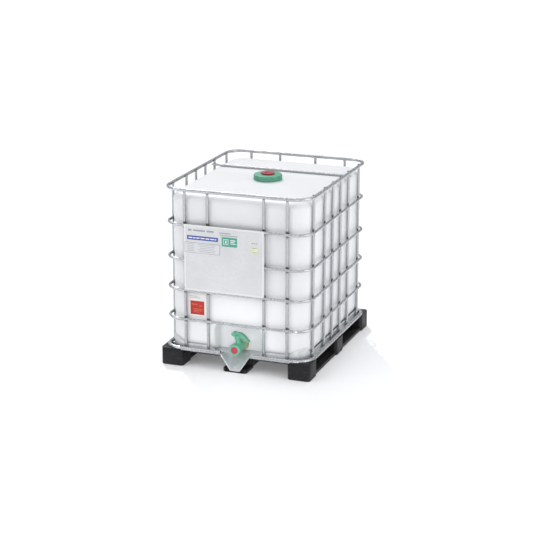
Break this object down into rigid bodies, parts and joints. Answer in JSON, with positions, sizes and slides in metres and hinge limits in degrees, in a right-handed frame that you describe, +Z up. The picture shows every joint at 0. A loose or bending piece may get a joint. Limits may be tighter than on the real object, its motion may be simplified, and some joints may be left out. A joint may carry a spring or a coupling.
{
  "type": "intermediate bulk container",
  "caption": "Tall milky plastic bottle in a tube cage on a black plastic pallet, with a round screw lid on top and a low discharge valve; holds and pours liquid in bulk.",
  "frame": {"origin": "on the floor under the middle of the pallet", "axes": "+Z up; the discharge valve faces -Y; +X is to the right of someone facing the valve"},
  "size_m": [1, 1.2, 1.16],
  "materials": {
    "galvanised": "galvanised steel tube and sheet",
    "zinc_fasteners": "zinc plated",
    "valve_steel": "turned steel",
    "pallet_plastic": "black moulded polyethylene",
    "bottle_plastic": "natural blow-moulded polyethylene",
    "green_plastic": "moulded, satin",
    "red_plastic": "moulded, satin",
    "seal_rubber": "soft black rubber",
    "nameplate_metal": "brushed, blank",
    "blue_label": "printed sticker",
    "green_label": "printed sticker",
    "yellow_label": "printed sticker",
    "red_label": "printed paper label"
  },
  "bodies": {
    "container": {"base_rail": "galvanised", "blue_sticker": "blue_label", "bottle_label": "red_label", "cage_ring_1": "galvanised", "cage_ring_2": "galvanised", "cage_ring_3": "galvanised", "cage_ring_4": "galvanised", "cage_top_rim": "galvanised", "crossbar_bolts": "zinc_fasteners", "drip_spout": "galvanised", "floor_pan": "galvanised", "green_sticker": "green_label", "inner_bottle": "bottle_plastic", "nameplate": "nameplate_metal", "pallet_deck": "pallet_plastic", "pallet_skid_left": "pallet_plastic", "pallet_skid_middle": "pallet_plastic", "pallet_skid_right": "pallet_plastic", "plate_clips": "galvanised", "post_back_1": "galvanised", "post_back_2": "galvanised", "post_back_3": "galvanised", "post_back_4": "galvanised", "post_front_1": "galvanised", "post_front_2": "galvanised", "post_front_3": "galvanised", "post_front_4": "galvanised", "post_left_1": "galvanised", "post_left_2": "galvanised", "post_left_3": "galvanised", "post_left_4": "galvanised", "post_left_5": "galvanised", "post_left_6": "galvanised", "post_right_1": "galvanised", "post_right_2": "galvanised", "post_right_3": "galvanised", "post_right_4": "galvanised", "post_right_5": "galvanised", "post_right_6": "galvanised", "sign_plate": "galvanised", "skid_screws": "zinc_fasteners", "top_crossbar": "galvanised", "union_nut": "green_plastic", "valve_body": "green_plastic", "valve_flange_gasket": "seal_rubber", "valve_seat_ring": "seal_rubber", "valve_stem_seal": "seal_rubber", "yellow_sticker": "yellow_label"},
    "cap_lift": {"outlet_cap_seal": "seal_rubber"},
    "cap_turn": {"outlet_cap": "green_plastic", "outlet_cap_disc": "red_plastic"},
    "lid_lift": {"lid_gasket": "seal_rubber"},
    "lid_turn": {"fill_lid": "green_plastic", "vent_plug_seal": "seal_rubber"},
    "plug_turn": {"vent_plug": "red_plastic"},
    "handle_turn": {"valve_handle": "green_plastic", "handle_screw": "zinc_fasteners", "valve_stem": "valve_steel", "valve_flap": "green_plastic"}
  },
  "joints": [
    {"name": "lid_lift_slide", "type": "slide", "parent": "container", "child": "lid_lift", "axis": [0, 0, 1], "range_m": [0, 0.18]},
    {"name": "lid_turn_hinge", "type": "hinge", "parent": "lid_lift", "child": "lid_turn", "pos_m": [0, 0, 1.14], "axis": [0, 0, 1], "range_deg": [0, 540]},
    {"name": "vent_plug_hinge", "type": "hinge", "parent": "lid_turn", "child": "plug_turn", "pos_m": [0, 0, 1.153], "axis": [0, 0, 1], "range_deg": [0, 540]},
    {"name": "valve_handle_hinge", "type": "hinge", "parent": "container", "child": "handle_turn", "pos_m": [0, -0.532, 0.147], "axis": [0, 0, -1], "range_deg": [0, 90]},
    {"name": "outlet_cap_slide", "type": "slide", "parent": "container", "child": "cap_lift", "axis": [0, -1, 0], "range_m": [0, 0.1]},
    {"name": "outlet_cap_hinge", "type": "hinge", "parent": "cap_lift", "child": "cap_turn", "pos_m": [0, -0.58, 0.147], "axis": [0, -1, 0], "range_deg": [0, 540]}
  ]
}
